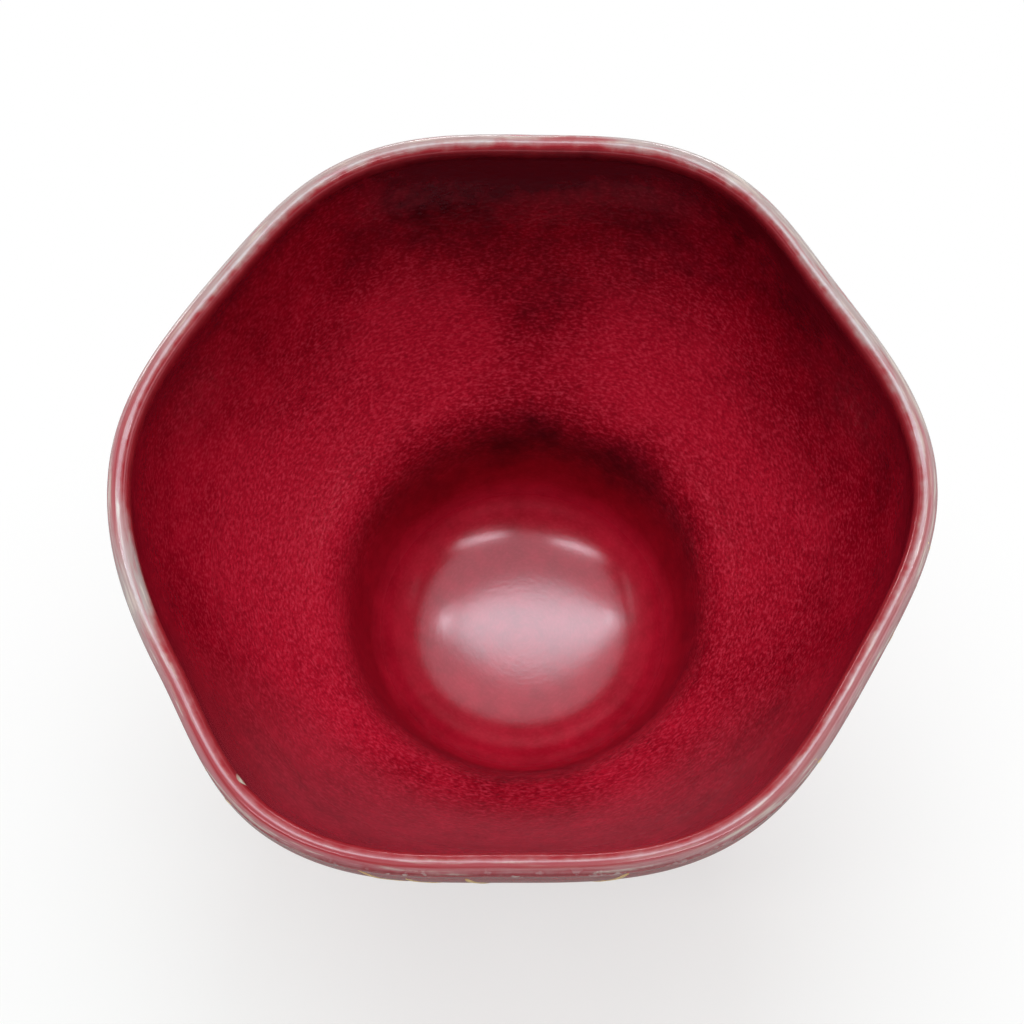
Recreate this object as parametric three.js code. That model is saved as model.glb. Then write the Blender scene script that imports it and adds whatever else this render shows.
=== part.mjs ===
// Tea bowl: thrown stoneware with a sunken tea well, six sides pressed in by hand,
// copper-red glaze that runs pale over the lip, and gold grass blades fired on the outside.
// Millimetres, +Z up. The origin is on the table, under the centre of the foot ring.

import * as THREE from 'three';

// Lip
const LIP_HEIGHT = 81; // crest above the table
const LIP_RADIUS = 54; // mean radius of the crest line
const LIP_THICKNESS = 3.2; // over the glaze
const LIP_BAND = 1.4; // how far the pale glaze comes down below the lip's rounding

// Pressed hexagon: bearing in degrees from +X, and how far the lip stands off its mean radius
const CORNERS = [[3, 1.4], [62, 1.7], [118, 0.8], [178, 0.9], [236, 2.8], [301, 0.9]];
const SIDES = [[34.5, -1.6], [90, -1.1], [145, -1.7], [210, -0.65], [271, -1.6], [331, -1.8]];

// Inside: the well's floor, the soft shoulder round the well, and the wall above it
const FLOOR_HEIGHT = 10; // lowest point of the inside above the table
const FLOOR_RADIUS = 22.4; // where the floor would meet the well's side, if it weren't dished
const FLOOR_EASE = 9.5; // how far the dished floor runs up the well's side
const SHOULDER_RADIUS = 28.6;
const SHOULDER_HEIGHT = 33;
const SHOULDER_EASE = 4.5; // rounding over the shoulder
const WALL_START_SLOPE = 40; // degrees from level, just above the shoulder
const WALL_LOWER_PULL = 15; // how long the wall keeps that slope
const WALL_UPPER_PULL = 16; // how long the wall stays upright under the lip

// Outside
const BELLY_PULL = 16; // how long the outside stays upright under the lip
const HEEL_SLOPE = 55; // degrees from level, just above the foot
const HEEL_PULL = 24; // how long the heel keeps that slope
const HEEL_OVERHANG = 2.4; // how far the edge of the outer glaze stands out over the foot ring

// Foot
const FOOT_RADIUS = 24;
const FOOT_WIDTH = 4.5;
const FOOT_HEIGHT = 5;
const FOOT_TAPER = 0.8; // how far the ring draws in towards the table
const FOOT_BEVEL = 0.6;
const BARE_MARGIN = 1.2; // height of the bare clay between the foot ring and the outer glaze

// Layers
const GLAZE = 0.6;
const BASE_GLAZE = 0.4;
const FUSE_GAP = 0.05; // clearance between a layer and what it is fused to
const GLAZE_SEAM = 0.1; // clearance between two glazes that meet edge to edge

// Gold grass blades: one tuft on each pressed side, alternate tufts mirrored
const LONG_DROP = 1.8; // from the crest down to the tip of a long blade
const MIDDLE_DROP = 2.6;
const SHORT_DROP = 3.4;
const BLADES = [
  { lean: -21, drop: LONG_DROP }, // degrees from the side's middle to the tip
  { lean: -15, drop: SHORT_DROP },
  { lean: -7, drop: MIDDLE_DROP },
  { lean: 15, drop: LONG_DROP },
];
const BLADE_ROOT_HEIGHT = 32;
const BLADE_ROOT_STEP = 1.8; // degrees between neighbouring roots
const BLADE_ARCH = 1.5; // above 1 a blade starts upright and bends outwards
const BLADE_WIDTH = 1.2;
const BLADE_TIP = 0.2; // width at both ends
const GILT = 0.15; // thickness of the gold
const GILT_GAP = 0.25; // clearance between the gold and the glaze

// Facets
const AROUND = 48; // steps round the bowl, eight to a side

const LIP_ROUND = LIP_THICKNESS / 2;
const BAND_HEIGHT = LIP_HEIGHT - LIP_ROUND - LIP_BAND;
const { degToRad, lerp, smoothstep } = THREE.MathUtils;
const at = (radius, height) => new THREE.Vector2(radius, height);

// A point that lies a distance from another one, at a slope in degrees from level
function along(point, slope, distance) {
  const angle = degToRad(slope);
  return at(point.x + distance * Math.cos(angle), point.y + distance * Math.sin(angle));
}

// A point on the way from one corner to the next, not past the middle of that stretch
function towards(from, to, distance) {
  const reach = Math.min(distance, 0.48 * from.distanceTo(to));
  return from.clone().add(to.clone().sub(from).setLength(reach));
}

// Points along curves that follow each other, each with its number of steps
function chain(runs) {
  const points = runs.flatMap(([curve, steps]) => curve.getPoints(steps).slice(1));
  return [runs[0][0].getPoint(0), ...points];
}

// Glazed surface of the inside, from the centre of the floor up to the lip band
function innerSkin() {
  const centre = at(0, FLOOR_HEIGHT);
  const corner = at(FLOOR_RADIUS, FLOOR_HEIGHT);
  const shoulder = at(SHOULDER_RADIUS, SHOULDER_HEIGHT);
  const top = at(LIP_RADIUS - LIP_ROUND, BAND_HEIGHT);
  const sideStart = towards(corner, shoulder, FLOOR_EASE);
  const sideEnd = towards(shoulder, corner, SHOULDER_EASE);
  const wallStart = along(shoulder, WALL_START_SLOPE, SHOULDER_EASE);
  const lowerPull = along(wallStart, WALL_START_SLOPE, WALL_LOWER_PULL);
  const upperPull = at(top.x, top.y - WALL_UPPER_PULL);
  return chain([
    [new THREE.QuadraticBezierCurve(centre, corner, sideStart), 6],
    [new THREE.LineCurve(sideStart, sideEnd), 1],
    [new THREE.QuadraticBezierCurve(sideEnd, shoulder, wallStart), 3],
    [new THREE.CubicBezierCurve(wallStart, lowerPull, upperPull, top), 6],
  ]);
}

// Glazed surface of the lip, from the inside over the crest to the outside
function lipSkin() {
  const foot = BAND_HEIGHT + GLAZE_SEAM;
  const spring = LIP_HEIGHT - LIP_ROUND;
  const inside = LIP_RADIUS - LIP_ROUND;
  const outside = LIP_RADIUS + LIP_ROUND;
  return chain([
    [new THREE.LineCurve(at(inside, foot), at(inside, spring)), 1],
    [new THREE.ArcCurve(LIP_RADIUS, spring, LIP_ROUND, Math.PI, 0, true), 6],
    [new THREE.LineCurve(at(outside, spring), at(outside, foot)), 1],
  ]);
}

// Glazed surface of the outside, from the lip band down to the edge of the glaze above the foot
function outerSkin() {
  const top = at(LIP_RADIUS + LIP_ROUND, BAND_HEIGHT);
  const edge = at(FOOT_RADIUS + HEEL_OVERHANG, FOOT_HEIGHT + BARE_MARGIN);
  const heel = along(edge, HEEL_SLOPE, HEEL_PULL);
  return chain([[new THREE.CubicBezierCurve(top, at(top.x, top.y - BELLY_PULL), heel, edge), 9]]);
}

// The same outline moved to its right, which is into the clay
function sunk(points, depth) {
  return points.map((point, i) => {
    const before = points[Math.max(i - 1, 0)];
    const after = points[Math.min(i + 1, points.length - 1)];
    const way = after.clone().sub(before).normalize();
    const onAxis = point.x === 0;
    return onAxis ? at(0, point.y - depth) : at(point.x + depth * way.y, point.y - depth * way.x);
  });
}

// How far the pressed lip stands off its mean radius, easing from each corner to the next side
function reachAt(bearing) {
  const marks = [...CORNERS, ...SIDES].sort((a, b) => a[0] - b[0]);
  const turn = THREE.MathUtils.euclideanModulo(bearing, 360);
  const next = marks.findIndex(([mark]) => mark > turn);
  const [endMark, endReach] = next < 0 ? [marks[0][0] + 360, marks[0][1]] : marks[next];
  const last = marks.at(next < 0 ? -1 : next - 1);
  const startMark = next === 0 ? last[0] - 360 : last[0];
  const share = (turn - startMark) / (endMark - startMark);
  return lerp(last[1], endReach, (1 - Math.cos(Math.PI * share)) / 2);
}

// The pressing fades from the lip band down to the round well
function pressedOut(bearing, height) {
  return reachAt(bearing) * smoothstep(height, SHOULDER_HEIGHT, BAND_HEIGHT);
}

// Two triangles for each facet of a turned outline. Every facet is split from its higher row to its
// lower row at the next bearing, so that two layers that touch are split alike and don't cross.
function splitFacets(outline) {
  const rows = outline.length;
  const faces = [];
  for (let column = 0; column < AROUND; column += 1) {
    for (let row = 0; row < rows - 1; row += 1) {
      const here = column * rows + row;
      const there = here + rows;
      const rises = outline[row + 1].y > outline[row].y;
      const halves = rises
        ? [here, there, here + 1, there + 1, here + 1, there]
        : [here, there, there + 1, here, there + 1, here + 1];
      faces.push(...halves);
    }
  }
  return faces;
}

// Turns an outline round +Z and presses its sides in. The outline has the solid on its right.
function thrown(outline) {
  const upwards = [...outline].reverse();
  const geometry = new THREE.LatheGeometry(upwards, AROUND);
  geometry.setIndex(splitFacets(upwards));
  geometry.rotateX(Math.PI / 2);
  const place = geometry.attributes.position;
  for (let i = 0; i < place.count; i += 1) {
    const bearing = Math.atan2(place.getY(i), place.getX(i));
    const out = pressedOut(THREE.MathUtils.radToDeg(bearing), place.getZ(i));
    place.setX(i, place.getX(i) + out * Math.cos(bearing));
    place.setY(i, place.getY(i) + out * Math.sin(bearing));
  }
  return geometry;
}

const closed = (outline) => [...outline, outline[0]];
const bowl = new THREE.Group();

function addPiece(name, geometry, material) {
  const piece = new THREE.Mesh(geometry, new THREE.MeshStandardMaterial(material));
  piece.name = name;
  bowl.add(piece);
}

const inside = innerSkin();
const lip = lipSkin();
const outside = outerSkin();
const skin = [...inside, ...lip, ...outside];
const glazeBack = sunk(skin, GLAZE);
const clay = sunk(skin, GLAZE + FUSE_GAP);

function addBody() {
  const outline = [...clay, at(FOOT_RADIUS, FOOT_HEIGHT), at(0, FOOT_HEIGHT)];
  addPiece('stoneware_body', thrown(outline), { color: 0xcdbfa9, roughness: 0.8 });
}

function addFootRing() {
  const top = FOOT_HEIGHT - FUSE_GAP;
  const inner = FOOT_RADIUS - FOOT_WIDTH;
  const base = FOOT_RADIUS - FOOT_TAPER;
  const outline = [
    at(inner, top),
    at(FOOT_RADIUS, top),
    at(base, FOOT_BEVEL),
    at(base - FOOT_BEVEL, 0),
    at(inner + FOOT_BEVEL, 0),
    at(inner, FOOT_BEVEL),
  ];
  addPiece('foot_ring', thrown(closed(outline)), { color: 0xc4b297, roughness: 0.85 });
}

// One glaze between two places in the skin's list of points
function addGlaze(name, start, end, material) {
  const face = skin.slice(start, end);
  const back = glazeBack.slice(start, end).reverse();
  const outline = [...face, ...back];
  const onAxis = face[0].x === 0;
  addPiece(name, thrown(onAxis ? outline : closed(outline)), material);
}

function addGlazes() {
  const red = { color: 0x8a1322, roughness: 0.18 };
  const lipStart = inside.length;
  const lipEnd = lipStart + lip.length;
  addGlaze('inner_glaze', 0, lipStart, red);
  addGlaze('lip_glaze', lipStart, lipEnd, { color: 0xd3a9a8, roughness: 0.15 });
  addGlaze('outer_glaze', lipEnd, skin.length, red);
}

function addBaseGlaze() {
  const top = FOOT_HEIGHT - FUSE_GAP;
  const edge = FOOT_RADIUS - FOOT_WIDTH - FUSE_GAP;
  const outline = [at(0, top), at(edge, top), at(edge, top - BASE_GLAZE), at(0, top - BASE_GLAZE)];
  addPiece('base_glaze', thrown(outline), { color: 0xe3ddd0, roughness: 0.2 });
}

// Radius of the pressed outside, which is straight between two rows of its facets
function outsideRadius(bearing, height) {
  const reach = (point) => point.x + pressedOut(bearing, point.y);
  const below = outside.findIndex((point) => point.y <= height);
  if (below === 0) return reach(outside[0]);
  const [upper, lower] = [outside[below - 1], outside[below]];
  return lerp(reach(lower), reach(upper), (height - lower.y) / (upper.y - lower.y));
}

// A point that stands off the glazed outside
function onOutside(bearing, height, standOff) {
  const radius = outsideRadius(bearing, height) + standOff;
  const angle = degToRad(bearing);
  return [radius * Math.cos(angle), radius * Math.sin(angle), height];
}

// Heights from a blade's root to its tip: every row of facets that it crosses, and one between each two
function bladeHeights(tipHeight) {
  const rows = outside.map((point) => point.y).reverse();
  const crossed = rows.filter((row) => row > BLADE_ROOT_HEIGHT && row < tipHeight);
  const knots = [BLADE_ROOT_HEIGHT, ...crossed, tipHeight];
  return knots.flatMap((knot, i) => (i === 0 ? [knot] : [(knots[i - 1] + knot) / 2, knot]));
}

// A thin tapered strip that follows the outside from its root to its tip
function bladeGeometry(rootBearing, tipBearing, tipHeight) {
  const places = [];
  const faces = [];
  const heights = bladeHeights(tipHeight);
  heights.forEach((height) => {
    const share = (height - BLADE_ROOT_HEIGHT) / (tipHeight - BLADE_ROOT_HEIGHT);
    const bearing = lerp(rootBearing, tipBearing, share ** BLADE_ARCH);
    const width = lerp(BLADE_TIP, BLADE_WIDTH, Math.sin(Math.PI * share));
    const half = THREE.MathUtils.radToDeg(width / 2 / outsideRadius(bearing, height));
    places.push(
      ...onOutside(bearing - half, height, GILT_GAP),
      ...onOutside(bearing + half, height, GILT_GAP),
      ...onOutside(bearing + half, height, GILT_GAP + GILT),
      ...onOutside(bearing - half, height, GILT_GAP + GILT),
    );
  });
  const last = 4 * (heights.length - 1);
  for (let ring = 0; ring < last; ring += 4) {
    for (let side = 0; side < 4; side += 1) {
      const [a, b] = [ring + side, ring + ((side + 1) % 4)];
      faces.push(a, b + 4, b, a, a + 4, b + 4);
    }
  }
  faces.push(0, 1, 2, 0, 2, 3, last, last + 2, last + 1, last, last + 3, last + 2);
  const geometry = new THREE.BufferGeometry();
  geometry.setAttribute('position', new THREE.Float32BufferAttribute(places, 3));
  geometry.setIndex(faces);
  return geometry;
}

function addGoldBlades() {
  const middleRoot = (BLADES.length - 1) / 2;
  SIDES.forEach(([sideBearing], side) => {
    const hand = side % 2 === 0 ? 1 : -1;
    BLADES.forEach(({ lean, drop }, blade) => {
      const root = sideBearing + hand * BLADE_ROOT_STEP * (blade - middleRoot);
      const geometry = bladeGeometry(root, sideBearing + hand * lean, LIP_HEIGHT - drop);
      const name = `gold_blade_${side + 1}_${blade + 1}`;
      addPiece(name, geometry, { color: 0xd9b865, roughness: 0.25, metalness: 1 });
    });
  });
}

addBody();
addFootRing();
addGlazes();
addBaseGlaze();
addGoldBlades();

export default bowl;
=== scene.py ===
"""Tea bowl of thrown stoneware in copper-red glaze, with gold blades of grass on the outside.

The file is laid out as an add-on and run as a script. Lengths are metres, +Z is up, and the origin is on
the table under the centre of the foot ring. Each piece stands where the solid that it replaces stands.
"""

import functools
import math

import bpy
import numpy as np
from bpy.props import FloatProperty, FloatVectorProperty, PointerProperty
from mathutils import Matrix, Vector, geometry, kdtree, noise


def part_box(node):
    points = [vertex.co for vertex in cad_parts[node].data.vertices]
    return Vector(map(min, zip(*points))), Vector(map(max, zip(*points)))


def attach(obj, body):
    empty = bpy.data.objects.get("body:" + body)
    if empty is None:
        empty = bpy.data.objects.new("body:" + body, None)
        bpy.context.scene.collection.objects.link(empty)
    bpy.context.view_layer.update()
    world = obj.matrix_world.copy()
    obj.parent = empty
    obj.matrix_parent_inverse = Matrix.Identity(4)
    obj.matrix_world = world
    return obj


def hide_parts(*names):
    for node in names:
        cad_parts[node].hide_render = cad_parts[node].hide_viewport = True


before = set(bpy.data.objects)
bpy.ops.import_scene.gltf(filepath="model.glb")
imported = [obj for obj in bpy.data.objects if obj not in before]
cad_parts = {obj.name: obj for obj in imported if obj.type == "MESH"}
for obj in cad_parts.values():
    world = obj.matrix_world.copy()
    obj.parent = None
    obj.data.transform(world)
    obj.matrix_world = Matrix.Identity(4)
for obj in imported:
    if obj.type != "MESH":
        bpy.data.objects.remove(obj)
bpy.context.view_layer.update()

bl_info = {
    "name": "Tea Bowl",
    "version": (1, 0, 0),
    "blender": (4, 5, 0),
    "location": "View3D > Sidebar > Tea Bowl",
    "description": "Models a pressed tea bowl in copper-red glaze with gold blades of grass",
    "category": "Add Mesh",
}

MM = 0.001
BODY = "root"
CREST_WAY = "crest_way"  # millimetres along the glaze from the crest of the lip, negative on the inside

# Focal length, fitted to the outline of the lip, and width of the picture
FOCAL_PIXELS, PICTURE_PIXELS = 2218, 1024

# Rows of faces along an outline, and steps round the bowl
FACE_PITCH = 0.75 * MM
LIP_PITCH = 0.22 * MM
BACK_PITCH = 3 * MM
SECTORS = 6
GLAZE_STEPS = 96  # in one sector
CLAY_STEPS = 40
MERGE = 0.002 * MM
WOBBLE_SEED = 7  # without a seed, noise vectors shift with the clock
SHARP = math.radians(50)  # edges that turn more than this stay sharp
MOST_EASED = 0.48  # of a stretch between two corners

# Cove between the clay's heel and the foot ring
COVE_SHARE = 0.6
COVE_HOLLOW = Vector((-0.4, 0, 0.3)) * MM

# Roll at the lower edge of the outer glaze: where it starts and is full, how far it hangs and tucks under
ROLL_START, ROLL_FULL = 6 * MM, 1 * MM
ROLL_HANG, ROLL_TUCK = 0.9 * MM, 0.1 * MM
WAVE_TOP = 16 * MM  # height at which that edge's wandering dies out
WAVE_PACE = 3.5  # how quickly it wanders round the bowl

NICK_FALL = 0.6  # how much a flake's hollow leans down
MENISCUS = 3  # rounded edge of the clear glaze, in its thicknesses

# Gold strokes: faces along and across, how much the brush's load varies, and their crown
STROKE_STEPS, STROKE_ROWS = 56, 8
LOAD_PACE, LOAD_SHARE = 3, 0.35
CROWN_FALL = 0.7  # from the middle of a stroke to its edges
CROWN_ENDS = 0.35  # thickness left at both ends

# Paper: where it starts to curve up, its rim, and the length of its faces
PAPER_FLAT, PAPER_RIM, PAPER_PITCH = Vector((2.6, 0, 0)), Vector((4, 0, 1)), 0.1

# Sky: its tilt towards the camera, and the heights between which the ceiling's edge fades
SKY_TILT = 0.22
SKY_EDGE = (0.79, 0.89)

# Lamps are aimed at the well's floor
LAMP_AIM = Vector((0, 0, 10 * MM))
NEAR_CLIP = 10 * MM  # nearest that the camera sees

# Places of a colour Mix node's sockets, whose names are shared by its other kinds
MIX_FACTOR, MIX_A, MIX_B = 0, 6, 7
MIX_COLOURS = {"out": 2, "data_type": "RGBA"}
SOFTLY = {"interpolation_type": "SMOOTHSTEP"}


def linear(hex_colour):
    """A colour written as sRGB hex, as linear red, green, blue and alpha."""
    parts = [int(hex_colour[i:i + 2], 16) / 255 for i in (1, 3, 5)]
    return [c / 12.92 if c <= 0.04045 else ((c + 0.055) / 1.055) ** 2.4 for c in parts] + [1.0]


def length(name, description, metres):
    return FloatProperty(name=name, description=description, default=metres, unit="LENGTH", precision=5)


def angle(name, description, degrees):
    return FloatProperty(name=name, description=description, default=math.radians(degrees), subtype="ANGLE")


def colour(name, description, hex_colour):
    return FloatVectorProperty(
        name=name, description=description, default=linear(hex_colour), subtype="COLOR", size=4, min=0, max=1
    )


def number(name, description, value):
    return FloatProperty(name=name, description=description, default=value)


def bearings(name, description, degrees):
    marks = [math.radians(mark) for mark in degrees]
    return FloatVectorProperty(name=name, description=description, default=marks, size=6, unit="ROTATION")


def reaches(name, description, millimetres):
    marks = [mark * MM for mark in millimetres]
    return FloatVectorProperty(name=name, description=description, default=marks, size=6, unit="LENGTH")


class TeaBowlSizes(bpy.types.PropertyGroup):
    """Sizes of the clay and the glaze"""

    lip_height: length("Lip height", "Crest above the table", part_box("lip_glaze")[1].z)
    lip_radius: length("Lip radius", "Mean radius of the crest line", 54 * MM)
    lip_thickness: length("Lip thickness", "Over the glaze", 3.2 * MM)
    lip_band: length("Lip band", "How far the pale glaze comes down below the lip's rounding", 1.4 * MM)

    corner_bearings: bearings("Corners", "Bearing of each corner from +X", (3, 62, 118, 178, 236, 301))
    corner_reach: reaches("Corner reach", "Lip off its mean radius", (1.4, 1.7, 0.8, 0.9, 2.8, 0.9))
    side_bearings: bearings("Sides", "Bearing of each side from +X", (34.5, 90, 145, 210, 271, 331))
    side_reach: reaches("Side reach", "Lip off its mean radius", (-1.6, -1.1, -1.7, -0.65, -1.6, -1.8))

    floor_height: length("Floor height", "Lowest point of the inside above the table", 10 * MM)
    floor_radius: length("Floor radius", "Where an undished floor would meet the well's side", 22.4 * MM)
    floor_ease: length("Floor ease", "How far the dished floor runs up the well's side", 9.5 * MM)
    shoulder_radius: length("Shoulder radius", "Edge round the well", 28.6 * MM)
    shoulder_height: length("Shoulder height", "Edge round the well, above the table", 33 * MM)
    shoulder_ease: length("Shoulder ease", "Rounding over the shoulder", 4.5 * MM)
    wall_slope: angle("Wall slope", "From level, just above the shoulder", 40)
    wall_lower_pull: length("Lower pull", "How long the wall keeps that slope", 15 * MM)
    wall_upper_pull: length("Upper pull", "How long the wall stays upright under the lip", 16 * MM)

    belly_pull: length("Belly pull", "How long the outside stays upright under the lip", 11 * MM)
    heel_slope: angle("Heel slope", "From level, just above the foot", 55)
    heel_pull: length("Heel pull", "How long the heel keeps that slope", 24 * MM)
    heel_overhang: length("Heel overhang", "Edge of the outer glaze over the foot ring", 2.4 * MM)
    bare_margin: length("Bare margin", "Bare clay between the foot ring and the glaze", 1.2 * MM)

    foot_radius: length("Foot radius", "Outside of the foot ring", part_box("foot_ring")[1].x)
    foot_width: length("Foot width", "Thickness of the foot ring", 4.5 * MM)
    foot_height: length("Foot height", "Underside of the body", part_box("stoneware_body")[0].z)
    foot_taper: length("Foot taper", "How far the ring draws in towards the table", 0.8 * MM)
    foot_bevel: length("Foot bevel", "Rounding of the ring's lower edges", 0.6 * MM)

    glaze: length("Glaze", "Thickness of the red glaze", 0.6 * MM)
    base_glaze: length("Base glaze", "Thickness of the clear glaze", 0.4 * MM)
    fuse_gap: length("Fuse gap", "Clearance between a layer and what it is fused to", 0.05 * MM)
    glaze_seam: length("Glaze seam", "Clearance between two glazes", 0.02 * MM)
    roll: length("Glaze roll", "How far the lower edge of the outer glaze swells", 0.45 * MM)
    roll_wave: length("Roll wave", "How far that edge wanders up the clay", 0.9 * MM)

    wobble: length("Wobble", "Unevenness that the potter's hands leave", 0.14 * MM)
    wobble_width: length("Wobble width", "Width of one soft dent", 24 * MM)
    ring_depth: length("Ring depth", "Depth of the throwing ring", 0.02 * MM)
    ring_pitch: length("Ring pitch", "Height that the throwing ring climbs in one turn", 5.2 * MM)

    nick_bearing: angle("Nick bearing", "Place of the small nick in the lip", 230)
    nick_drop: length("Nick drop", "From the crest down to the nick", 1.3 * MM)
    nick_width: length("Nick width", "Across the nick", 2.2 * MM)
    nick_depth: length("Nick depth", "Into the lip", 0.5 * MM)


class GoldBladeSizes(bpy.types.PropertyGroup):
    """Sizes of the gold brush strokes"""

    leans: FloatVectorProperty(
        name="Leans", description="From a side's middle to each tip", size=4, unit="ROTATION",
        default=[math.radians(lean) for lean in (-21, -15, -7, 15)],
    )
    drops: FloatVectorProperty(
        name="Drops", description="From the crest down to each tip", size=4, unit="LENGTH",
        default=[drop * MM for drop in (1.8, 3.4, 2.6, 1.8)],
    )
    side_rise: reaches("Side rise", "How much higher the tips of each side come", (0, 0, 0, 0, 0, 1.3))
    root_height: length("Root height", "Where a tuft grows from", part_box("gold_blade_1_1")[0].z)
    root_step: angle("Root step", "Between neighbouring roots", 1.8)
    arch: number("Arch", "Above 1 a blade starts upright and bends out", 1.5)
    width: length("Width", "Widest part of a blade", 1.8 * MM)
    tip: length("Tip", "Width at both ends", 0.2 * MM)
    blunt: number("Blunt", "Below 1 a blade widens soon after its ends", 0.35)
    gilt: length("Gilt", "Thickness of the gold in the middle of a stroke", 0.2 * MM)
    seat: length("Seat", "How far the gold sinks into the glaze", 0.03 * MM)


class TeaBowlColours(bpy.types.PropertyGroup):
    """Colours of the glazes, the clay, the gold and the table"""

    wine: colour("Wine", "Deepest copper, under the lip", "#38010B")
    copper: colour("Copper red", "Copper of middling depth", "#8E041A")
    crimson: colour("Crimson", "Thinner copper on the walls", "#B0112A")
    rose: colour("Rose", "Thinnest grains, where bubbles broke", "#DC4058")
    thin_red: colour("Thin red", "Edges of the burnt lip", "#A02C34")
    mauve: colour("Mauve", "Lip whose copper has burnt off", "#B2A6A3")
    pink: colour("Pink", "Lip that kept some copper", "#B46C72")
    cream: colour("Cream", "Palest lines along the lip", "#CFC0B7")
    blush: colour("Blush", "Traces of copper in the pale lip", "#AC5A62")
    gloss: colour("Gloss", "Tint of the gloss in the well", "#FAF3FF")
    film: colour("Film", "Tint of the gloss on the walls", "#C47A82")
    # Painted sheen: greyish-pink reflection laid on the glaze under the near lip
    painted_sheen: colour("Bloom", "Milky glaze under the near lip", "#A87A88")
    clay: colour("Clay", "Bare buff stoneware", "#C9B99F")
    iron: colour("Iron", "Iron specks in the clay", "#7A5B3C")
    clear: colour("Clear glaze", "Clear glaze over the clay", "#DDD5C4")
    craze: colour("Crazing", "Stained hairlines in the clear glaze", "#A8977A")
    gold: colour("Gold", "Burnished gold", "#F8DA90")
    gold_thin: colour("Thin gold", "Gold that the brush left thin", "#D8AE66")
    table: colour("Table", "White seamless paper", "#F3F1EF")


class TeaBowlStage(bpy.types.PropertyGroup):
    """Camera and lamps"""

    focal: number("Focal length", "In picture widths", FOCAL_PIXELS / PICTURE_PIXELS)
    elevation: angle("Elevation", "Camera above the horizon", 69.22)
    heading: angle("Heading", "Camera turned about the bowl", 3.22)
    roll: angle("Roll", "Camera turned about its own axis", 2)
    distance: length("Distance", "Camera from its target", 300.1 * MM)
    target_x: length("Target X", "Target beside the bowl's axis", -1.16 * MM)
    target_y: length("Target Y", "Target before the bowl's axis", -4.55 * MM)
    strip: number("Strip light", "Brightness of the long light overhead", 1)
    strip_tint: colour("Strip tint", "Cool white of the long light", "#E4FFFF")
    pair: number("Lamp pair", "Brightness of the lamps beside the camera", 9)
    right: number("Right light", "Brightness of the soft light on the right", 2.6)
    left: number("Left light", "Brightness of the soft light on the left", 1.7)
    bulb: number("Bulbs", "Brightness of the bulbs at the strip's ends", 16)
    window: number("Windows", "Brightness of the low windows behind", 18)
    ceiling: number("Ceiling", "Brightness of the sky overhead", 1.45)
    shade: number("Shade", "Brightness of the sky near the horizon", 0.06)


def at(radius, height):
    """A point of an outline."""
    return Vector((radius, 0, height))


def along(point, slope, distance):
    return point + at(math.cos(slope), math.sin(slope)) * distance


def towards(start, end, distance):
    """A point on the way from one corner to the next, not past the middle of that stretch."""
    way = end - start
    return start + way.normalized() * min(distance, MOST_EASED * way.length)


def bend(start, pull, push, end, pitch):
    """Points of a curve, without its first one, about a pitch apart."""
    reach = (pull - start).length + (push - pull).length + (end - push).length
    steps = max(1, round(reach / pitch))
    return geometry.interpolate_bezier(start, pull, push, end, steps + 1)[1:]


def ease(start, corner, end, pitch):
    """Points that round a corner off, without the first one."""
    return bend(start, start.lerp(corner, 2 / 3), end.lerp(corner, 2 / 3), end, pitch)


def straight(start, end, pitch):
    return ease(start, start.lerp(end, 0.5), end, pitch)


def lip_round(size):
    return size.lip_thickness / 2


def band_height(size):
    return size.lip_height - lip_round(size) - size.lip_band


def inside_skin(size, pitch):
    """Glazed surface of the inside, from the centre of the floor up to the lip band."""
    centre = at(0, size.floor_height)
    corner = at(size.floor_radius, size.floor_height)
    shoulder = at(size.shoulder_radius, size.shoulder_height)
    top = at(size.lip_radius - lip_round(size), band_height(size))
    side_start = towards(corner, shoulder, size.floor_ease)
    side_end = towards(shoulder, corner, size.shoulder_ease)
    wall_start = along(shoulder, size.wall_slope, size.shoulder_ease)
    lower_pull = along(wall_start, size.wall_slope, size.wall_lower_pull)
    upper_pull = top - at(0, size.wall_upper_pull)
    return [
        centre,
        *ease(centre, corner, side_start, pitch),
        *straight(side_start, side_end, pitch),
        *ease(side_end, shoulder, wall_start, pitch),
        *bend(wall_start, lower_pull, upper_pull, top, pitch),
    ]


def lip_skin(size, pitch):
    """Glazed surface of the lip, from the inside over the crest to the outside."""
    bottom = band_height(size) + size.glaze_seam
    spring = size.lip_height - lip_round(size)
    steps = 2 * math.ceil(math.pi * lip_round(size) / pitch / 2)
    turns = [math.pi * (1 - step / steps) for step in range(steps + 1)]
    crest = at(size.lip_radius, spring)
    arc = [crest + at(math.cos(turn), math.sin(turn)) * lip_round(size) for turn in turns]
    inner, outer = at(arc[0].x, bottom), at(arc[-1].x, bottom)
    return [inner, *straight(inner, arc[0], pitch), *arc[1:], *straight(arc[-1], outer, pitch)]


def outside_skin(size, pitch):
    """Glazed surface of the outside, from the lip band down to the edge of the glaze above the foot."""
    top = at(size.lip_radius + lip_round(size), band_height(size))
    edge = at(size.foot_radius + size.heel_overhang, size.foot_height + size.bare_margin)
    heel = along(edge, size.heel_slope, size.heel_pull)
    return [top, *bend(top, top - at(0, size.belly_pull), heel, edge, pitch)]


def sunk(points, depth):
    """The same outline moved to its right, which is into the clay."""
    moved = []
    for i, point in enumerate(points):
        way = (points[min(i + 1, len(points) - 1)] - points[max(i - 1, 0)]).normalized()
        on_axis = point.x < MERGE
        moved.append(at(0, point.z - depth) if on_axis else point + at(way.z, -way.x) * depth)
    return moved


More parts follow.
